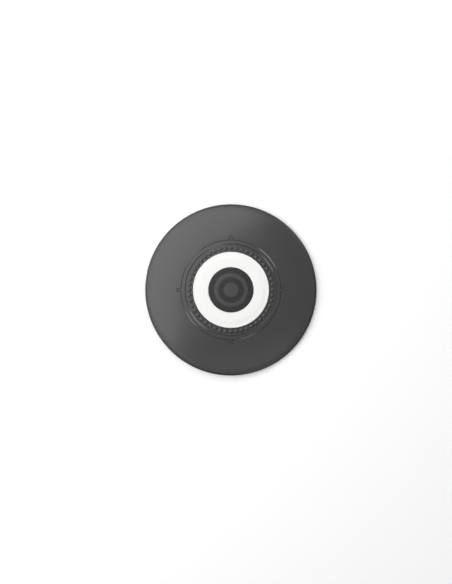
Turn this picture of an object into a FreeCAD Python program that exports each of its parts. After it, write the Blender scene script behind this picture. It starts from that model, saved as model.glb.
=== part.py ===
import FreeCAD, Part
import os
import Sketcher

# Round adhesive mount plate: a domed moulded disc that sticks by a foam pad,
# with a raised white seat ring, a printed cap and a disc magnet at its centre.
# The origin is the centre of the adhesive face and +Z points out of the plate.

doc = FreeCAD.newDocument("MountPlate")
sheet = doc.addObject("Spreadsheet::Sheet", "Sizes")

driving_sizes = (
    # Domed disc, from its edge to its centre
    ("plate_diameter", "67"),
    ("edge_height", "1.67"),
    ("edge_radius", "0.45"),
    ("foot_chamfer", "0.3"),
    ("rim_slope_width", "0.9"),
    ("rim_slope_rise", "0.37"),
    ("bevel_width", "1.3"),
    ("bevel_rise", "0.17"),
    ("face_rise", "0.44"),
    ("face_blend_width", "8.2"),
    ("face_land_width", "1.24"),
    # Foam pad and its recess in the underside
    ("pad_thickness", "0.8"),
    ("pad_recess", "0.5"),
    ("pad_rim_width", "2.0"),
    ("pad_clearance", "0.2"),
    ("web_thickness", "0.8"),
    # White ring, cap and magnet
    ("seat_diameter", "29.5"),
    ("seat_clearance", "0.05"),
    ("seat_bore_chamfer", "0.1"),
    ("shoulder_width", "1.35"),
    ("shoulder_drop", "0.25"),
    ("lip_width", "1.1"),
    ("lip_chamfer", "0.2"),
    ("cap_diameter", "17.6"),
    ("cap_thickness", "1.0"),
    ("cap_clearance", "0.04"),
    ("cap_chamfer", "0.1"),
    ("ledge_width", "0.9"),
    ("magnet_thickness", "1.5"),
    ("magnet_clearance", "0.1"),
    ("magnet_chamfer", "0.2"),
    # Ring of diamond studs
    ("stud_count", "48"),
    ("stud_length", "1.76"),
    ("stud_top_length", "0.2"),
    ("stud_height", "0.32"),
    ("stud_spacing", "0.11"),
    ("crown_gap", "0.52"),
    # Low raised ring with its tabs
    ("ring_gap", "0.59"),
    ("ring_width", "1.94"),
    ("ring_height", "0.25"),
    ("ring_chamfer", "0.2"),
    ("tab_count", "4"),
    ("tab_length", "1.8"),
    ("tab_width", "1.2"),
    ("tab_corner_radius", "0.4"),
)
for row, (alias, number) in enumerate(driving_sizes, start=1):
    sheet.set(f"A{row}", alias)
    sheet.set(f"B{row}", number)
    sheet.setAlias(f"B{row}", alias)
doc.recompute()

# Levels above the adhesive face
rim_base = "(Sizes.pad_thickness - Sizes.pad_recess)"
edge_top = f"({rim_base} + Sizes.edge_height)"
rim_slope_top = f"({edge_top} + Sizes.rim_slope_rise)"
bevel_top = f"({rim_slope_top} + Sizes.bevel_rise)"
floor_level = f"({bevel_top} + Sizes.face_rise)"
ring_top = f"({floor_level} + Sizes.ring_height)"
stud_top = f"({floor_level} + Sizes.stud_height)"
seat_base = "(Sizes.pad_thickness + Sizes.web_thickness)"
cap_base = f"({seat_base} + Sizes.magnet_thickness)"

# Heights of the white ring above its own base
seat_height = "(Sizes.magnet_thickness + Sizes.cap_thickness)"
shoulder_height = f"({seat_height} - Sizes.shoulder_drop)"

# Radii, from the centre outwards
cap_bore = "(Sizes.cap_diameter / 2)"
cap_radius = f"({cap_bore} - Sizes.cap_clearance)"
magnet_bore = f"({cap_bore} - Sizes.ledge_width)"
magnet_radius = f"({magnet_bore} - Sizes.magnet_clearance)"
seat_radius = "(Sizes.seat_diameter / 2)"
lip_inner = f"({seat_radius} - Sizes.lip_width)"
seat_flat = f"({lip_inner} - Sizes.shoulder_width)"
pocket_radius = f"({seat_radius} + Sizes.seat_clearance)"
stud_radius = f"({seat_radius} + Sizes.crown_gap + Sizes.stud_length / 2)"
ring_inner = f"({stud_radius} + Sizes.stud_length / 2 + Sizes.ring_gap)"
ring_outer = f"({ring_inner} + Sizes.ring_width)"
ring_middle = f"({ring_inner} + Sizes.ring_width / 2)"
tab_outer = f"({ring_outer} + Sizes.tab_length)"
plate_radius = "(Sizes.plate_diameter / 2)"
rim_slope_inner = f"({plate_radius} - Sizes.rim_slope_width)"
bevel_inner = f"({rim_slope_inner} - Sizes.bevel_width)"
blend_inner = f"({ring_outer} + Sizes.face_land_width)"
blend_outer = f"({blend_inner} + Sizes.face_blend_width)"
recess_radius = f"({plate_radius} - Sizes.pad_rim_width)"
pad_radius = f"({recess_radius} - Sizes.pad_clearance)"

# The face leaves its level land by an arc that runs into a straight cone
cone_width = f"({bevel_inner} - {blend_outer})"
blend_fall = f"(Sizes.face_rise * Sizes.face_blend_width / (Sizes.face_blend_width + 2 * {cone_width}))"

# Neighbouring studs stand one named space apart on their pitch circle
stud_width = f"(2 * pi * {stud_radius} / Sizes.stud_count - Sizes.stud_spacing)"

# A stud's sides lie back from its foot so far that its flat top has its named length
stud_setback = (
    f"((Sizes.stud_length - Sizes.stud_top_length) / 2"
    f" * {stud_width} / sqrt(Sizes.stud_length^2 + {stud_width}^2))"
)
stud_lean = f"atan({stud_setback} / Sizes.stud_height)"

# Roundings and chamfers take no more than a share of the wall or corner that they run into
round_share = 0.6
foot_share = 0.3
cut_share = 0.45
ring_share = 0.85
edge_round = f"min(Sizes.edge_radius; {round_share} * Sizes.edge_height)"
foot_cut = f"min(Sizes.foot_chamfer; {foot_share} * Sizes.edge_height)"
tab_round = f"min(Sizes.tab_corner_radius; {cut_share} * Sizes.tab_width)"
ring_cut = f"min(Sizes.ring_chamfer; {ring_share} * Sizes.ring_height; {ring_share} * {tab_round})"
lip_cut = f"min(Sizes.lip_chamfer; {cut_share} * Sizes.lip_width)"
bore_cut = f"min(Sizes.seat_bore_chamfer; {cut_share} * Sizes.cap_thickness)"
cap_cut = f"min(Sizes.cap_chamfer; {cut_share} * Sizes.cap_thickness)"
magnet_cut = f"min(Sizes.magnet_chamfer; {cut_share} * Sizes.magnet_thickness)"

# Every sketch numbers its own origin point and axes so
origin_point = (-1, 1)
axis_at_zero = {"DistanceX": -2, "DistanceY": -1}

tolerance = 1e-4


def value(expression):
    return float(sheet.evalExpression(expression))


def new_body(label, height="0"):
    body = doc.addObject("PartDesign::Body", label)
    body.Label = label
    body.setExpression("Placement.Base.z", height)
    return body


def new_sketch(body, name, role, height="0"):
    sketch = body.newObject("Sketcher::SketchObject", name)
    plane = next(item for item in body.Origin.OriginFeatures if item.Role == role)
    sketch.AttachmentSupport = (plane, [""])
    sketch.MapMode = "FlatFace"
    sketch.setExpression("AttachmentOffset.Base.z", height)
    return sketch


def pin_distance(sketch, kind, point, expression):
    # A point keeps its signed distance from the origin, or lies on the axis itself
    number = value(expression)
    if abs(number) < tolerance:
        sketch.addConstraint(Sketcher.Constraint("PointOnObject", *point, axis_at_zero[kind]))
    elif number > 0:
        index = sketch.addConstraint(Sketcher.Constraint(kind, *origin_point, *point, number))
        sketch.setExpression(f"Constraints[{index}]", expression)
    else:
        index = sketch.addConstraint(Sketcher.Constraint(kind, *point, *origin_point, -number))
        sketch.setExpression(f"Constraints[{index}]", f"-({expression})")


def falling_arc(start, end, kind):
    # Arc that leaves its start level, or reaches its end upright, drawn anticlockwise
    across = end.x - start.x
    fall = start.y - end.y
    if kind == "level_start":
        radius = (across ** 2 + fall ** 2) / (2 * fall)
        centre = start - FreeCAD.Vector(0, radius, 0)
    else:
        radius = (across ** 2 + fall ** 2) / (2 * across)
        centre = end - FreeCAD.Vector(radius, 0, 0)
    middle = centre + ((start + end) / 2 - centre).normalize() * radius
    return Part.Arc(end, middle, start)


def draw_outline(sketch, corners):
    # Closed outline through the corners, each pinned where its side starts.
    # A corner's third word, where it has one, makes the side that leaves it an arc.
    kinds = [corner[2] if len(corner) > 2 else "line" for corner in corners]
    points = [FreeCAD.Vector(value(corner[0]), value(corner[1]), 0) for corner in corners]
    starts = [(side, 1 if kind == "line" else 2) for side, kind in enumerate(kinds)]
    ends = [(side, 2 if kind == "line" else 1) for side, kind in enumerate(kinds)]
    for kind, start, end in zip(kinds, points, points[1:] + points[:1]):
        if kind == "line":
            sketch.addGeometry(Part.LineSegment(start, end))
        else:
            sketch.addGeometry(falling_arc(start, end, kind))
    for end, following in zip(ends, starts[1:] + starts[:1]):
        sketch.addConstraint(Sketcher.Constraint("Coincident", *end, *following))
    for side, kind in enumerate(kinds):
        if kind == "level_start":
            sketch.addConstraint(Sketcher.Constraint("Vertical", side, 3, *starts[side]))
        elif kind == "upright_end":
            sketch.addConstraint(Sketcher.Constraint("Horizontal", side, 3, *ends[side]))
    for start, corner in zip(starts, corners):
        pin_distance(sketch, "DistanceX", start, corner[0])
        pin_distance(sketch, "DistanceY", start, corner[1])


def rounded_corner(x, y, slope_width, slope_fall, radius):
    # Both ends of the rounding where a slope that falls outwards meets an upright wall
    slope = f"sqrt({slope_width}^2 + {slope_fall}^2)"
    reach = f"({radius} * {slope_width} / ({slope} + {slope_fall}))"
    slope_end_x = f"{x} - {reach} * {slope_width} / {slope}"
    slope_end_y = f"{y} + {reach} * {slope_fall} / {slope}"
    return (slope_end_x, slope_end_y, "upright_end"), (x, f"{y} - {reach}")


def draw_circle(sketch, radius):
    circle = Part.Circle(FreeCAD.Vector(), FreeCAD.Vector(0, 0, 1), value(radius))
    line = sketch.addGeometry(circle)
    sketch.addConstraint(Sketcher.Constraint("Coincident", line, 3, *origin_point))
    index = sketch.addConstraint(Sketcher.Constraint("Radius", line, value(radius)))
    sketch.setExpression(f"Constraints[{index}]", radius)


def revolve(body, name, corners):
    sketch = new_sketch(body, f"{name}_section", "XZ_Plane")
    draw_outline(sketch, corners)
    revolution = body.newObject("PartDesign::Revolution", name)
    revolution.Profile = sketch
    revolution.ReferenceAxis = (sketch, ["V_Axis"])
    revolution.Angle = 360
    doc.recompute()
    return revolution


def pad(body, name, sketch, length):
    feature = body.newObject("PartDesign::Pad", name)
    feature.Profile = sketch
    feature.setExpression("Length", length)
    doc.recompute()
    return feature


def repeat_round(body, name, feature, count):
    pattern = body.newObject("PartDesign::PolarPattern", name)
    axis = next(item for item in body.Origin.OriginFeatures if item.Role == "Z_Axis")
    pattern.Originals = [feature]
    pattern.Axis = (axis, [""])
    pattern.Angle = 360
    pattern.setExpression("Occurrences", count)
    body.Tip = pattern
    doc.recompute()
    return pattern


def edges_at(feature, height):
    # Names of the edges that lie level at this height
    names = []
    for number, edge in enumerate(feature.Shape.Edges, start=1):
        box = edge.BoundBox
        if abs(box.ZMin - value(height)) < tolerance and abs(box.ZMax - value(height)) < tolerance:
            names.append(f"Edge{number}")
    return names


def edges_upright_at(feature, radius):
    # Names of the straight upright edges that stand this far from the axis
    names = []
    for number, edge in enumerate(feature.Shape.Edges, start=1):
        box = edge.BoundBox
        upright = box.XLength < tolerance and box.YLength < tolerance
        reach = FreeCAD.Vector(box.XMin, box.YMin, 0).Length
        if upright and abs(reach - value(radius)) < tolerance:
            names.append(f"Edge{number}")
    return names


def flat_faces_between(feature, low, high):
    # Names of the flat faces that reach from one level up to another
    names = []
    for number, face in enumerate(feature.Shape.Faces, start=1):
        box = face.BoundBox
        spans = abs(box.ZMin - value(low)) < tolerance and abs(box.ZMax - value(high)) < tolerance
        if spans and isinstance(face.Surface, Part.Plane):
            names.append(f"Face{number}")
    return names


def lay_back(body, name, feature, faces, height, lean):
    # Faces lean back by this angle about the line where they stand on a level plane
    level = body.newObject("PartDesign::Plane", f"{name}_level")
    plane = next(item for item in body.Origin.OriginFeatures if item.Role == "XY_Plane")
    level.AttachmentSupport = (plane, [""])
    level.MapMode = "FlatFace"
    level.setExpression("AttachmentOffset.Base.z", height)
    draft = body.newObject("PartDesign::Draft", name)
    draft.Base = (feature, faces)
    draft.NeutralPlane = (level, [""])
    draft.setExpression("Angle", lean)
    doc.recompute()
    return draft


def round_edges(body, name, feature, edges, radius):
    fillet = body.newObject("PartDesign::Fillet", name)
    fillet.Base = (feature, edges)
    fillet.setExpression("Radius", radius)
    doc.recompute()
    return fillet


def chamfer_edges(body, name, feature, edges, size):
    chamfer = body.newObject("PartDesign::Chamfer", name)
    chamfer.Base = (feature, edges)
    chamfer.setExpression("Size", size)
    doc.recompute()
    return chamfer


def make_base_plate():
    body = new_body("base_plate")
    revolve(body, "disc", (
        ("0", seat_base),
        (pocket_radius, seat_base),
        (pocket_radius, floor_level),
        (ring_inner, floor_level),
        (ring_inner, ring_top),
        (ring_outer, ring_top),
        (ring_outer, floor_level),
        (blend_inner, floor_level, "level_start"),
        (blend_outer, f"{floor_level} - {blend_fall}"),
        (bevel_inner, bevel_top),
        (rim_slope_inner, rim_slope_top),
        *rounded_corner(plate_radius, edge_top, "Sizes.rim_slope_width", "Sizes.rim_slope_rise", edge_round),
        (plate_radius, f"{rim_base} + {foot_cut}"),
        (f"{plate_radius} - {foot_cut}", rim_base),
        (recess_radius, rim_base),
        (recess_radius, "Sizes.pad_thickness"),
        ("0", "Sizes.pad_thickness"),
    ))

    # Tabs reach out from the raised ring, level with its top
    outline = new_sketch(body, "tab_outline", "XY_Plane", bevel_top)
    draw_outline(outline, (
        (ring_middle, "-Sizes.tab_width / 2"),
        (tab_outer, "-Sizes.tab_width / 2"),
        (tab_outer, "Sizes.tab_width / 2"),
        (ring_middle, "Sizes.tab_width / 2"),
    ))
    tab = pad(body, "tab", outline, "Sizes.face_rise + Sizes.ring_height")
    tabs = repeat_round(body, "tabs", tab, "Sizes.tab_count")
    corners = edges_upright_at(tabs, f"sqrt({tab_outer}^2 + (Sizes.tab_width / 2)^2)")
    rounded = round_edges(body, "tab_corners", tabs, corners, tab_round)
    chamfer_edges(body, "ring_chamfers", rounded, edges_at(rounded, ring_top), ring_cut)

    # Diamond studs rise from the flat floor between the pocket and the raised ring
    foot = new_sketch(body, "stud_foot", "XY_Plane", floor_level)
    draw_outline(foot, (
        (f"{stud_radius} - Sizes.stud_length / 2", "0"),
        (stud_radius, f"-{stud_width} / 2"),
        (f"{stud_radius} + Sizes.stud_length / 2", "0"),
        (stud_radius, f"{stud_width} / 2"),
    ))
    stud = pad(body, "stud", foot, "Sizes.stud_height")
    studs = repeat_round(body, "studs", stud, "Sizes.stud_count")
    sides = flat_faces_between(studs, floor_level, stud_top)
    lay_back(body, "stud_sides", studs, sides, floor_level, stud_lean)
    return body


def make_seat_ring():
    body = new_body("seat_ring", seat_base)
    revolve(body, "ring", (
        (magnet_bore, "0"),
        (magnet_bore, "Sizes.magnet_thickness"),
        (cap_bore, "Sizes.magnet_thickness"),
        (cap_bore, f"{seat_height} - {bore_cut}"),
        (f"{cap_bore} + {bore_cut}", seat_height),
        (seat_flat, seat_height),
        (lip_inner, shoulder_height),
        (f"{seat_radius} - {lip_cut}", shoulder_height),
        (seat_radius, f"{shoulder_height} - {lip_cut}"),
        (seat_radius, "0"),
    ))
    return body


def make_centre_cap():
    body = new_body("centre_cap", cap_base)
    outline = new_sketch(body, "cap_outline", "XY_Plane")
    draw_circle(outline, cap_radius)
    disc = pad(body, "cap_disc", outline, "Sizes.cap_thickness")
    chamfer_edges(body, "cap_edge", disc, edges_at(disc, "Sizes.cap_thickness"), cap_cut)
    return body


def make_magnet():
    body = new_body("magnet", seat_base)
    outline = new_sketch(body, "magnet_outline", "XY_Plane")
    draw_circle(outline, magnet_radius)
    disc = pad(body, "magnet_disc", outline, "Sizes.magnet_thickness")
    rims = edges_at(disc, "0") + edges_at(disc, "Sizes.magnet_thickness")
    chamfer_edges(body, "magnet_edges", disc, rims, magnet_cut)
    return body


def make_adhesive_pad():
    body = new_body("adhesive_pad")
    outline = new_sketch(body, "pad_outline", "XY_Plane")
    draw_circle(outline, pad_radius)
    pad(body, "pad_disc", outline, "Sizes.pad_thickness")
    return body


pieces = (
    make_base_plate(),
    make_seat_ring(),
    make_centre_cap(),
    make_magnet(),
    make_adhesive_pad(),
)
doc.recompute()

for item in doc.Objects:
    if "Invalid" in item.State or "Error" in item.State:
        raise RuntimeError(f"{item.Label} failed to build: {item.State}")
for piece in pieces:
    if piece.Shape.isNull() or not piece.Shape.isValid() or len(piece.Shape.Solids) != 1:
        raise RuntimeError(f"{piece.Label} is not one valid solid")

os.makedirs("parts", exist_ok=True)
for piece in pieces:
    piece.Shape.exportStep(f"parts/{piece.Label}.step")
    box = piece.Shape.optimalBoundingBox()
    print(
        f"{piece.Label}: {piece.Shape.Volume:.1f} mm3, {box.XLength:.2f} x {box.YLength:.2f}"
        f" x {box.ZLength:.2f} mm, from z {box.ZMin:.2f}"
    )
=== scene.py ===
import bpy
import bmesh
import math
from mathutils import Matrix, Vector


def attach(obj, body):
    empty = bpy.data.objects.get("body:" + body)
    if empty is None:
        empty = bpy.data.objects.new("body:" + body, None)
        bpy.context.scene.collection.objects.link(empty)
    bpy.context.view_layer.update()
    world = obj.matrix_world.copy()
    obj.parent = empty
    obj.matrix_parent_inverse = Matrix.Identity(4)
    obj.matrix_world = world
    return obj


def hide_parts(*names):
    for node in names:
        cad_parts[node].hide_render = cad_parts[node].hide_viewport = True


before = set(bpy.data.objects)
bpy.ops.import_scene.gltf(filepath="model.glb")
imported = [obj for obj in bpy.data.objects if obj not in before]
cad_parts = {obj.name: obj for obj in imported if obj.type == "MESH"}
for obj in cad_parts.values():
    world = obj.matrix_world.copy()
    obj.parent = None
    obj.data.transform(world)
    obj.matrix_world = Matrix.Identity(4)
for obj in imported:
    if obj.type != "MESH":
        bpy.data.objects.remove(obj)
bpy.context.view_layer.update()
print("frame loaded:", ", ".join(sorted(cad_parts)))

scene = bpy.context.scene
scene.view_settings.view_transform = "Standard"
mm = 0.001
turnSteps = 384  # divisions round the axis, eight to a stud
arcStep = 6      # degrees between the points of a rounding
holdShare = 0.25  # of a rounding, from its end to the point that keeps the flat flat
holdMost = 0.05  # mm, the most that may be
sharpBend = 32   # degrees from which an edge is shaded as sharp
nearby = 0.001   # mm, closer counts as touching


def hexColour(code):
    # sRGB hex to the linear colour that a shader takes
    parts = [int(code[i:i + 2], 16) / 255 for i in (1, 3, 5)]
    return [p / 12.92 if p <= 0.04045 else ((p + 0.055) / 1.055) ** 2.4 for p in parts] + [1.0]


def addNode(tree, kind, settings=None, plugs=None):
    # A plug, by name or number, takes a plain value or another node's output.
    # Colours go into a Mix node at 6 and 7 and come out at 2.
    node = tree.nodes.new(kind)
    for name, setting in (settings or {}).items():
        setattr(node, name, setting)
    for plug, source in (plugs or {}).items():
        if isinstance(source, bpy.types.NodeSocket):
            tree.links.new(source, node.inputs[plug])
        else:
            node.inputs[plug].default_value = source
    return node


def startMaterial(name):
    material = bpy.data.materials.new(name)
    material.use_nodes = True
    material.node_tree.nodes.clear()
    return material, material.node_tree


# Charcoal ABS from a spark-eroded mould: an even satin skin whose fine grain only shows as a
# soft edge on the highlight, with faint clouding in the gloss and a coarser skin on the bevel.
plateFinish = {
    "colour": "#353536",
    "cloudColour": "#323233",
    "cloudSize": 9.0,       # mm
    "grainSize": 0.22,      # mm, about the coarseness of a fine eroded skin
    "grainDepth": 0.0006,   # mm
    "roughness": (0.19, 0.21),
    "ior": 1.53,            # ABS
    "coarseFrom": (31.1, 31.5),  # mm from the axis, where the coarser skin sets in
    "coarser": 0.11,        # added roughness there
}

# White ABS, moulded with a smooth satin skin: bright, and very slightly uneven in tone.
seatFinish = {
    "colour": "#F0F0EF",
    "cloudColour": "#EDEDEC",
    "cloudSize": 6.0,
    "grainSize": 0.18,
    "grainDepth": 0.0008,
    "roughness": (0.48, 0.54),
    "ior": 1.46,            # below the 1.53 of bare ABS, as a satin skin reflects less
}

# Black polycarbonate with a matt skin, which dulls the highlight and darkens it.
capFinish = {
    "colour": "#202021",
    "cloudColour": "#1E1E1F",
    "cloudSize": 4.0,
    "grainSize": 0.12,
    "grainDepth": 0.0008,
    "roughness": (0.27, 0.31),
    "ior": 1.40,            # below the 1.58 of bare polycarbonate, as a matt skin reflects less
}

# Charcoal screen ink, laid on smooth: it shines as the plate does.
inkFinish = {
    "colour": "#363637",
    "cloudColour": "#343435",
    "cloudSize": 3.0,
    "grainSize": 0.15,
    "grainDepth": 0.0005,
    "roughness": (0.21, 0.23),
    "ior": 1.53,
}


def makeMouldedFinish(name, finish):
    material, tree = startMaterial(name)
    place = addNode(tree, "ShaderNodeTexCoord").outputs["Object"]
    cloud = addNode(tree, "ShaderNodeTexNoise", None, {
        "Vector": place, "Scale": 1 / (finish["cloudSize"] * mm), "Detail": 2.0, "Roughness": 0.5})
    grain = addNode(tree, "ShaderNodeTexNoise", None, {
        "Vector": place, "Scale": 1 / (finish["grainSize"] * mm), "Detail": 2.0, "Roughness": 0.55})
    colour = addNode(tree, "ShaderNodeMix", {"data_type": "RGBA"}, {
        0: cloud.outputs[0], 6: hexColour(finish["colour"]), 7: hexColour(finish["cloudColour"])})
    gloss = addNode(tree, "ShaderNodeMapRange", None, {
        "Value": cloud.outputs[0], "From Min": 0.3, "From Max": 0.7,  # most of the noise lies there
        "To Min": finish["roughness"][0], "To Max": finish["roughness"][1]})
    if "coarser" in finish:
        start, end = finish["coarseFrom"]
        level = addNode(tree, "ShaderNodeVectorMath", {"operation": "MULTIPLY"}, {0: place, 1: (1, 1, 0)})
        reach = addNode(tree, "ShaderNodeVectorMath", {"operation": "LENGTH"}, {0: level.outputs[0]})
        coarse = addNode(tree, "ShaderNodeMapRange", None, {
            "Value": reach.outputs["Value"], "From Min": start * mm, "From Max": end * mm,
            "To Min": 0.0, "To Max": finish["coarser"]})
        gloss = addNode(tree, "ShaderNodeMath", {"operation": "ADD"}, {
            0: gloss.outputs[0], 1: coarse.outputs[0]})
    bump = addNode(tree, "ShaderNodeBump", None, {
        "Strength": 1.0, "Distance": finish["grainDepth"] * mm, "Height": grain.outputs[0]})
    shader = addNode(tree, "ShaderNodeBsdfPrincipled", None, {
        "Base Color": colour.outputs[2], "Roughness": gloss.outputs[0],
        "IOR": finish["ior"], "Normal": bump.outputs[0]})
    addNode(tree, "ShaderNodeOutputMaterial", None, {"Surface": shader.outputs[0]})
    return material


# Closed-cell polyethylene foam tape: black, dull, with small cells that
# pit the cut edge and dimple the sticky face; each pit darkens to its bottom as painted shade.
padFinish = {
    "colour": "#1D1D1E",
    # the colour painted at the bottom of each pit, as painted shade
    "pitShadeColour": "#101011",
    "cellSize": 0.35,       # mm
    "cellDepth": 0.02,      # mm
    "roughness": (0.55, 0.8),
    "ior": 1.5,
}


def makePadFinish(finish):
    material, tree = startMaterial("foamTapeBlack")
    place = addNode(tree, "ShaderNodeTexCoord").outputs["Object"]
    cells = addNode(tree, "ShaderNodeTexVoronoi", {"feature": "F1"}, {
        "Vector": place, "Scale": 1 / (finish["cellSize"] * mm), "Randomness": 1.0})
    # The colour darkens towards each cell's centre, where the bump is deepest: painted shade in the pits.
    colour = addNode(tree, "ShaderNodeMix", {"data_type": "RGBA"}, {
        0: cells.outputs["Distance"], 6: hexColour(finish["pitShadeColour"]), 7: hexColour(finish["colour"])})
    gloss = addNode(tree, "ShaderNodeMapRange", None, {
        "Value": cells.outputs["Distance"],
        "To Min": finish["roughness"][0], "To Max": finish["roughness"][1]})
    bump = addNode(tree, "ShaderNodeBump", None, {
        "Strength": 0.6, "Distance": finish["cellDepth"] * mm, "Height": cells.outputs["Distance"]})
    shader = addNode(tree, "ShaderNodeBsdfPrincipled", None, {
        "Base Color": colour.outputs[2], "Roughness": gloss.outputs[0],
        "IOR": finish["ior"], "Normal": bump.outputs[0]})
    addNode(tree, "ShaderNodeOutputMaterial", None, {"Surface": shader.outputs[0]})
    return material


# Barrel-plated nickel on a sintered magnet: warm grey metal, softly uneven.
magnetFinish = {
    "colour": "#D4CDC0",
    "cloudSize": 1.2,       # mm
    "roughness": (0.22, 0.34),
}


def makeMagnetFinish(finish):
    material, tree = startMaterial("nickelPlate")
    place = addNode(tree, "ShaderNodeTexCoord").outputs["Object"]
    cloud = addNode(tree, "ShaderNodeTexNoise", None, {
        "Vector": place, "Scale": 1 / (finish["cloudSize"] * mm), "Detail": 3.0})
    gloss = addNode(tree, "ShaderNodeMapRange", None, {
        "Value": cloud.outputs[0],
        "To Min": finish["roughness"][0], "To Max": finish["roughness"][1]})
    shader = addNode(tree, "ShaderNodeBsdfPrincipled", None, {
        "Base Color": hexColour(finish["colour"]), "Metallic": 1.0, "Roughness": gloss.outputs[0]})
    addNode(tree, "ShaderNodeOutputMaterial", None, {"Surface": shader.outputs[0]})
    return material


plateMaterial = makeMouldedFinish("charcoalAbsMoulded", plateFinish)
seatMaterial = makeMouldedFinish("whiteAbsMoulded", seatFinish)
capMaterial = makeMouldedFinish("blackPolycarbonateMatt", capFinish)
inkMaterial = makeMouldedFinish("charcoalScreenInk", inkFinish)
padMaterial = makePadFinish(padFinish)
magnetMaterial = makeMagnetFinish(magnetFinish)
print("materials made:", len(bpy.data.materials))


def roundedSection(corners, closed=False):
    # Corners are (radius from axis, height, rounding). A rounded corner gets
    # an arc and a close point beyond each end, which keeps the flats flat.
    points = []
    count = len(corners)
    for i, (x, y, rounding) in enumerate(corners):
        corner = Vector((x, y))
        if rounding == 0 or (not closed and i in (0, count - 1)):
            points.append(corner)
            continue
        before = (corner - Vector(corners[i - 1][:2])).normalized()
        after = (Vector(corners[(i + 1) % count][:2]) - corner).normalized()
        bend = before.angle(after)
        reach = rounding * math.tan(bend / 2)
        hold = min(holdMost, holdShare * rounding)
        side = 1 if before.cross(after) > 0 else -1
        centre = corner - before * reach + Vector((-before.y, before.x)) * side * rounding
        spoke = corner - before * reach - centre
        steps = max(3, math.ceil(math.degrees(bend) / arcStep))
        points.append(corner - before * (reach + hold))
        for step in range(steps + 1):
            turn = side * bend * step / steps
            c, s = math.cos(turn), math.sin(turn)
            points.append(centre + Vector((spoke.x * c - spoke.y * s, spoke.x * s + spoke.y * c)))
        points.append(corner + after * (reach + hold))
    return points


def skinRings(work, rings, wrap):
    # Joins rings of points into a skin; a ring of one point is a pole
    pairs = list(zip(rings, rings[1:])) + ([(rings[-1], rings[0])] if wrap else [])
    for low, high in pairs:
        for i in range(max(len(low), len(high))):
            j = i + 1
            if len(low) == 1:
                work.faces.new((low[0], high[j % len(high)], high[i]))
            elif len(high) == 1:
                work.faces.new((low[i], low[j % len(low)], high[0]))
            else:
                work.faces.new((low[i], low[j % len(low)], high[j % len(high)], high[i]))


def smoothMesh(mesh):
    mesh.shade_smooth()
    mesh.set_sharp_from_angle(angle=math.radians(sharpBend))


def meshObject(name, work):
    bmesh.ops.recalc_face_normals(work, faces=work.faces)
    mesh = bpy.data.meshes.new(name)
    work.to_mesh(mesh)
    work.free()
    smoothMesh(mesh)
    piece = bpy.data.objects.new(name, mesh)
    scene.collection.objects.link(piece)
    return piece


def turnedPiece(name, section, wrap=False):
    work = bmesh.new()
    rings = []
    for point in section:
        if point.x < nearby:
            rings.append([work.verts.new((0, 0, point.y * mm))])
            continue
        circle = []
        for step in range(turnSteps):
            turn = 2 * math.pi * (step + 0.5) / turnSteps
            spot = Vector((math.cos(turn), math.sin(turn), 0)) * point.x + Vector((0, 0, point.y))
            circle.append(work.verts.new(spot * mm))
        rings.append(circle)
    skinRings(work, rings, wrap)
    return meshObject(name, work)


# Sizes in mm, heights above the adhesive face
plate = {
    "radius": 33.49, "rimBase": 0.3, "edgeTop": 1.97, "edgeRound": 0.45, "footRound": 0.25,
    "shoulderRadius": 32.6, "shoulderTop": 2.34, "shoulderBlend": 1.2,
    "bevelRadius": 31.3, "bevelTop": 2.514, "bevelBlend": 12.0,
    "floor": 2.95, "faceBend": 24.9, "faceBlend": 120.0,
    "pocketRadius": 14.8, "pocketFloor": 1.6, "pocketRound": 0.06,
    "recessRadius": 31.5, "recessTop": 0.8, "recessRound": 0.08,
}

ring = {
    "inner": 17.70, "outer": 19.56, "floor": plate["floor"],
    "height": 0.25, "root": 0.25,  # above the floor and below it
    "step": 0.04, "slope": 0.28, "innerSlope": 0.27, "round": 0.06,
    "tabEnd": 21.36, "tabWidth": 1.2, "tabCount": 4, "tabCorner": 0.4,
    "sideSteps": 5, "cornerSteps": 4,
}

studs = {
    "count": 48, "pitchRadius": 16.2, "length": 1.96, "width": 2.0, "corner": 0.2,
    "floor": plate["floor"], "cornerSteps": 5,
    # share of the foot's size, height above the floor
    "shape": ((1.0, -0.25), (1.0, 0.03), (0.98, 0.07), (0.90, 0.14), (0.86, 0.157),
              (0.46, 0.246), (0.36, 0.264), (0.10, 0.28), (0.05, 0.281)),
}


def plateDisc(p):
    section = roundedSection((
        (0, p["recessTop"], 0),
        (p["recessRadius"], p["recessTop"], 0),
        (p["recessRadius"], p["rimBase"], p["recessRound"]),
        (p["radius"], p["rimBase"], p["footRound"]),
        (p["radius"], p["edgeTop"], p["edgeRound"]),
        (p["shoulderRadius"], p["shoulderTop"], p["shoulderBlend"]),
        (p["bevelRadius"], p["bevelTop"], p["bevelBlend"]),
        (p["faceBend"], p["floor"], p["faceBlend"]),
        (p["pocketRadius"], p["floor"], p["pocketRound"]),
        (p["pocketRadius"], p["pocketFloor"], 0),
        (0, p["pocketFloor"], 0),
    ))
    return turnedPiece("plateDisc", section)


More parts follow.
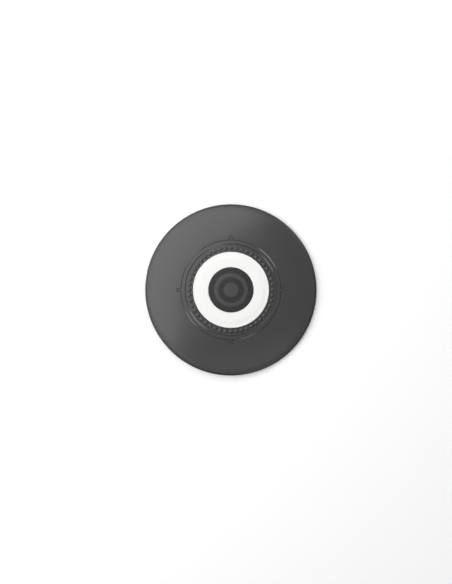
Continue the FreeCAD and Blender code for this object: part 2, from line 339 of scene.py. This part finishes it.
def ringOutline(r):
    # Once round the ring's outside, out along each tab and back
    half = r["tabWidth"] / 2
    root = math.sqrt(r["outer"] ** 2 - half ** 2)
    edgeTurn = math.asin(half / r["outer"])
    quarter = 2 * math.pi / r["tabCount"]
    arcSteps = round((quarter - 2 * edgeTurn) / (2 * math.pi) * turnSteps)
    sideReach = [root + (r["tabEnd"] - r["tabCorner"] - root) * step / r["sideSteps"]
                 for step in range(r["sideSteps"])]
    outline = []
    for tab in range(r["tabCount"]):
        base = tab * quarter
        local = [(x, -half) for x in sideReach]
        for sign in (-1, 1):
            for step in range(r["cornerSteps"] + 1):
                turn = math.pi / 2 * step / r["cornerSteps"]
                a = turn if sign == -1 else math.pi / 2 - turn
                local.append((r["tabEnd"] - r["tabCorner"] * (1 - math.sin(a)),
                              sign * (half - r["tabCorner"] * (1 - math.cos(a)))))
        local += [(x, half) for x in reversed(sideReach)]
        for x, y in local:
            outline.append(Vector((x * math.cos(base) - y * math.sin(base),
                                   x * math.sin(base) + y * math.cos(base))))
        for step in range(1, arcSteps):
            turn = base + edgeTurn + (quarter - 2 * edgeTurn) * step / arcSteps
            outline.append(Vector((math.cos(turn), math.sin(turn))) * r["outer"])
    return outline


def insetOutline(outline, inset):
    # Every point moves in along the mitre of its two sides
    moved = []
    count = len(outline)
    for i, point in enumerate(outline):
        a = (point - outline[i - 1]).normalized()
        b = (outline[(i + 1) % count] - point).normalized()
        na, nb = Vector((-a.y, a.x)), Vector((-b.y, b.x))
        moved.append(point + (na + nb) / (1 + na.dot(nb)) * inset)
    return moved


def raisedRing(r):
    work = bmesh.new()
    outline = ringOutline(r)
    # The inside takes its angles from the top's edge, so that no two faces cross
    turns = [math.atan2(point.y, point.x) for point in insetOutline(outline, r["slope"] + r["round"])]
    rings = []

    def addLayer(points, height):
        rings.append([work.verts.new((p.x * mm, p.y * mm, height * mm)) for p in points])

    def innerCircle(radius):
        return [Vector((math.cos(turn), math.sin(turn))) * radius for turn in turns]

    def sideSection(slope):
        # Inset and height up the side: a short wall, then a slope with softened edges
        top = r["floor"] + r["height"]
        return roundedSection((
            (0, r["floor"] - r["root"], 0),
            (0, r["floor"] + r["step"], r["round"] / 2),
            (slope, top, r["round"]),
            (slope + r["round"], top, 0),
        ))

    for point in sideSection(r["slope"]):
        addLayer(insetOutline(outline, point.x), point.y)
    for point in reversed(sideSection(r["innerSlope"])):
        addLayer(innerCircle(r["inner"] + point.x), point.y)
    skinRings(work, rings, True)
    return meshObject("raisedRing", work)


def studForm(s):
    # One diamond stud at the origin, its length along X, the plate's floor at zero
    work = bmesh.new()
    a, b = s["length"] / 2, s["width"] / 2
    tips = [Vector((a, 0)), Vector((0, b)), Vector((-a, 0)), Vector((0, -b))]
    outline = []
    for i, tip in enumerate(tips):
        toLast = (tips[i - 1] - tip).normalized()
        toNext = (tips[(i + 1) % len(tips)] - tip).normalized()
        start, end = tip + toLast * s["corner"], tip + toNext * s["corner"]
        for step in range(s["cornerSteps"] + 1):
            k = step / s["cornerSteps"]
            outline.append(start * (1 - k) ** 2 + tip * 2 * k * (1 - k) + end * k ** 2)
    rings = []
    for scale, height in s["shape"]:
        rings.append([work.verts.new((p.x * scale * mm, p.y * scale * mm, height * mm)) for p in outline])
    rings.insert(0, [work.verts.new((0, 0, s["shape"][0][1] * mm))])
    rings.append([work.verts.new((0, 0, s["shape"][-1][1] * mm))])
    skinRings(work, rings, False)
    return meshObject("studForm", work)


def studRingTree():
    tree = bpy.data.node_groups.new("studRing", "GeometryNodeTree")
    sockets = {}
    for label, kind in (("Disc", "NodeSocketGeometry"), ("Raised Ring", "NodeSocketObject"),
                        ("Stud", "NodeSocketObject"), ("Stud Count", "NodeSocketInt"),
                        ("Pitch Radius", "NodeSocketFloat"), ("Floor Height", "NodeSocketFloat"),
                        ("Finish", "NodeSocketMaterial")):
        sockets[label] = tree.interface.new_socket(label, in_out="INPUT", socket_type=kind).identifier
    tree.interface.new_socket("Plate", in_out="OUTPUT", socket_type="NodeSocketGeometry")
    given = addNode(tree, "NodeGroupInput").outputs
    circle = addNode(tree, "GeometryNodeMeshCircle", {"fill_type": "NONE"}, {
        "Vertices": given["Stud Count"], "Radius": given["Pitch Radius"]})
    outward = addNode(tree, "FunctionNodeAlignRotationToVector", {"axis": "X"}, {
        "Vector": addNode(tree, "GeometryNodeInputPosition").outputs[0]})
    lift = addNode(tree, "ShaderNodeCombineXYZ", None, {"Z": given["Floor Height"]})
    stud = addNode(tree, "GeometryNodeObjectInfo", None, {"Object": given["Stud"]})
    spread = addNode(tree, "GeometryNodeInstanceOnPoints", None, {
        "Points": circle.outputs[0], "Instance": stud.outputs["Geometry"], "Rotation": outward.outputs[0]})
    raised = addNode(tree, "GeometryNodeSetPosition", None, {
        "Geometry": addNode(tree, "GeometryNodeRealizeInstances", None, {
            "Geometry": spread.outputs[0]}).outputs[0],
        "Offset": lift.outputs[0]})
    ringBody = addNode(tree, "GeometryNodeObjectInfo", None, {"Object": given["Raised Ring"]})
    union = addNode(tree, "GeometryNodeMeshBoolean", {"operation": "UNION", "solver": "EXACT"}, {
        "Mesh 2": given["Disc"]})
    tree.links.new(ringBody.outputs["Geometry"], union.inputs["Mesh 2"])
    tree.links.new(raised.outputs[0], union.inputs["Mesh 2"])
    whole = addNode(tree, "GeometryNodeRealizeInstances", None, {"Geometry": union.outputs[0]})
    dressed = addNode(tree, "GeometryNodeSetMaterial", None, {
        "Geometry": whole.outputs[0], "Material": given["Finish"]})
    addNode(tree, "NodeGroupOutput", None, {0: dressed.outputs[0]})
    return tree, sockets


def makeBasePlate():
    disc, ringBody, stud = plateDisc(plate), raisedRing(ring), studForm(studs)
    tree, sockets = studRingTree()
    nodes = disc.modifiers.new("studRing", "NODES")
    nodes.node_group = tree
    for label, setting in (("Raised Ring", ringBody), ("Stud", stud), ("Stud Count", studs["count"]),
                           ("Pitch Radius", studs["pitchRadius"] * mm),
                           ("Floor Height", studs["floor"] * mm), ("Finish", plateMaterial)):
        nodes[sockets[label]] = setting
    mesh = bpy.data.meshes.new_from_object(disc.evaluated_get(bpy.context.evaluated_depsgraph_get()))
    for scrap in (disc, ringBody, stud):
        bpy.data.objects.remove(scrap)
    mesh.name = "basePlate"
    smoothMesh(mesh)
    piece = bpy.data.objects.new("basePlate", mesh)
    scene.collection.objects.link(piece)
    return piece


basePlate = makeBasePlate()
print("base plate made:", len(basePlate.data.polygons), "faces")


seat = {
    "bore": 8.8, "magnetBore": 7.9, "base": plate["pocketFloor"], "ledge": 3.1, "top": 4.1,
    "boreRound": 0.1, "footRound": 0.1,
    "flat": 12.3, "flatBlend": 3.0, "lipInner": 13.65, "lipTop": 3.85, "lipBlend": 1.5,
    "outside": 14.75, "lipRound": 0.25,
}

cap = {"radius": 8.76, "base": seat["ledge"], "top": seat["top"], "round": 0.09,
       "inkFields": ((0, 2.85), (4.96, 6.56))}  # printed dot and ring

pad = {"radius": 31.3, "base": 0.0, "top": plate["recessTop"], "round": 0.06, "inkFields": ()}


def makeSeatRing(s):
    section = roundedSection((
        (s["magnetBore"], s["base"], 0),
        (s["outside"], s["base"], s["footRound"]),
        (s["outside"], s["lipTop"], s["lipRound"]),
        (s["lipInner"], s["lipTop"], s["lipBlend"]),
        (s["flat"], s["top"], s["flatBlend"]),
        (s["bore"], s["top"], s["boreRound"]),
        (s["bore"], s["ledge"], 0),
        (s["magnetBore"], s["ledge"], 0),
    ), True)
    return turnedPiece("seatRing", section, True)


def makeDisc(name, d):
    inkEdges = [edge for field in d["inkFields"] for edge in field if edge > 0]
    section = roundedSection((
        (0, d["base"], 0),
        (d["radius"], d["base"], d["round"]),
        (d["radius"], d["top"], d["round"]),
        *((edge, d["top"], 0) for edge in reversed(inkEdges)),
        (0, d["top"], 0),
    ))
    return turnedPiece(name, section)


seatRing = makeSeatRing(seat)
centreCap = makeDisc("centreCap", cap)
adhesivePad = makeDisc("adhesivePad", pad)
print("turned pieces made: seat ring, centre cap, adhesive pad")

pieces = (
    (basePlate, "base_plate", "plate", (plateMaterial,)),
    (seatRing, "seat_ring", "seat", (seatMaterial,)),
    (centreCap, "centre_cap", "cap", (capMaterial, inkMaterial)),
    (adhesivePad, "adhesive_pad", "pad", (padMaterial,)),
)
for piece, node, slot, finishes in pieces:
    piece.data.materials.clear()
    for finish in finishes:
        piece.data.materials.append(finish)
    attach(piece, "root")
    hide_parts(node)

# The print is the faces of the cap's top that lie in its fields
for face in centreCap.data.polygons:
    reach = face.center.xy.length / mm
    onTop = face.center.z > (cap["top"] - nearby) * mm
    face.material_index = int(onTop and any(low < reach < high for low, high in cap["inkFields"]))

# The magnet is wholly enclosed, so its CAD solid stays
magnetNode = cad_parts["magnet"]
magnetNode.data.materials.clear()
magnetNode.data.materials.append(magnetMaterial)


# In metres. The lift is what the camera and reflections see, and it lights nothing.
floorLook = {"size": 6.0, "height": -0.0001, "colour": "#F2F2F2", "lift": 0.14}


def makeFloor(f):
    work = bmesh.new()
    half = f["size"] / 2
    square = ((-half, -half), (half, -half), (half, half), (-half, half))
    work.faces.new([work.verts.new((x, y, f["height"])) for x, y in square])
    mesh = bpy.data.meshes.new("paleFloor")
    work.to_mesh(mesh)
    work.free()
    floor = bpy.data.objects.new("paleFloor", mesh)
    scene.collection.objects.link(floor)
    material, tree = startMaterial("paleStudioFloor")
    path = addNode(tree, "ShaderNodeLightPath").outputs
    seen = addNode(tree, "ShaderNodeMath", {"operation": "MAXIMUM"}, {
        0: path["Is Camera Ray"], 1: path["Is Glossy Ray"]})
    seen = addNode(tree, "ShaderNodeMath", {"operation": "MAXIMUM"}, {
        0: seen.outputs[0], 1: path["Is Transmission Ray"]})
    glow = addNode(tree, "ShaderNodeMath", {"operation": "MULTIPLY"}, {0: seen.outputs[0], 1: f["lift"]})
    matt = addNode(tree, "ShaderNodeBsdfDiffuse", None, {"Color": hexColour(f["colour"])})
    light = addNode(tree, "ShaderNodeEmission", None, {"Strength": glow.outputs[0]})
    both = addNode(tree, "ShaderNodeAddShader", None, {0: matt.outputs[0], 1: light.outputs[0]})
    clear = addNode(tree, "ShaderNodeBsdfTransparent")
    # The floor is only there from above, so the pad can be seen from below
    side = addNode(tree, "ShaderNodeNewGeometry").outputs["Backfacing"]
    shown = addNode(tree, "ShaderNodeMixShader", None, {0: side, 1: both.outputs[0], 2: clear.outputs[0]})
    addNode(tree, "ShaderNodeOutputMaterial", None, {"Surface": shown.outputs[0]})
    mesh.materials.append(material)


makeFloor(floorLook)

# The room is dim, with a soft glow overhead. Its edge is given as the height of a direction,
# from 0 at the horizon to 1 straight up.
worldLook = {"glow": 0.54, "room": 0.09, "glowEdge": (0.75, 0.86)}


def makeWorld(w):
    world = bpy.data.worlds.new("studioWorld")
    world.use_nodes = True
    tree = world.node_tree
    tree.nodes.clear()
    toward = addNode(tree, "ShaderNodeSeparateXYZ", None, {
        0: addNode(tree, "ShaderNodeTexCoord").outputs["Generated"]})
    level = addNode(tree, "ShaderNodeMapRange", {"interpolation_type": "SMOOTHSTEP"}, {
        "Value": toward.outputs["Z"], "From Min": w["glowEdge"][0], "From Max": w["glowEdge"][1],
        "To Min": w["room"], "To Max": w["glow"]})
    sky = addNode(tree, "ShaderNodeBackground", None, {
        "Color": (1, 1, 1, 1), "Strength": level.outputs[0]})
    addNode(tree, "ShaderNodeOutputWorld", None, {"Surface": sky.outputs[0]})
    scene.world = world


makeWorld(worldLook)

# Lamps stand round the plate by azimuth and by angle from straight up, in degrees.
# high and low are where the panel's edges are, wide is half its width, distance is in
# metres and level is how bright the panel is.
lamps = {
    "mainSoftbox": {"azimuth": 147, "high": 3.3, "low": 56, "wide": 29.5, "distance": 0.37, "level": 2.06},
    "softboxCore": {"azimuth": 150, "high": 16, "low": 46, "wide": 24, "distance": 0.36, "level": 0.36},
    "upperFlank": {"azimuth": 84, "high": 32, "low": 60, "wide": 15, "distance": 0.6, "level": 0.75},
    "lowerFlank": {"azimuth": 208, "high": 28, "low": 60, "wide": 15, "distance": 0.6, "level": 0.45},
    "rimStrip": {"azimuth": 41, "high": 62, "low": 82, "wide": 14, "distance": 0.75, "level": 6.5},
    "leftStrip": {"azimuth": 140, "high": 61, "low": 84, "wide": 11, "distance": 0.75, "level": 1.5},
    "farStrip": {"azimuth": 216, "high": 62, "low": 82, "wide": 10, "distance": 0.75, "level": 5.2},
    "lowStrip": {"azimuth": 290, "high": 58, "low": 84, "wide": 11, "distance": 0.75, "level": 2.4},
    "lowFill": {"azimuth": 286, "high": 12, "low": 23, "wide": 11, "distance": 0.45, "level": 0.5},
}


def addLamp(name, s):
    middle = math.radians((s["high"] + s["low"]) / 2)
    half = math.radians((s["low"] - s["high"]) / 2)
    turn = math.radians(s["azimuth"])
    out = Vector((math.sin(middle) * math.cos(turn), math.sin(middle) * math.sin(turn), math.cos(middle)))
    light = bpy.data.lights.new(name, "AREA")
    light.shape = "RECTANGLE"
    light.size = 2 * s["distance"] * math.tan(math.radians(s["wide"]))
    light.size_y = 2 * s["distance"] * math.tan(half)
    light.energy = s["level"] * math.pi * light.size * light.size_y  # watts for that radiance
    lamp = bpy.data.objects.new(name, light)
    lamp.location = out * s["distance"]
    lamp.rotation_euler = (-out).to_track_quat("-Z", "Y").to_euler()
    lamp.visible_camera = False
    scene.collection.objects.link(lamp)


for lampName, lampSettings in lamps.items():
    addLamp(lampName, lampSettings)

# Place in mm, clip in metres
cameraSettings = {"lens": 45, "x": -1.925, "y": -0.812, "height": 287.0, "clip": (0.01, 20)}
view = bpy.data.cameras.new("straightDown")
view.lens = cameraSettings["lens"]
view.clip_start, view.clip_end = cameraSettings["clip"]
camera = bpy.data.objects.new("straightDown", view)
camera.location = Vector((cameraSettings["x"], cameraSettings["y"], cameraSettings["height"])) * mm
scene.collection.objects.link(camera)
scene.camera = camera
print("lamps and camera placed")
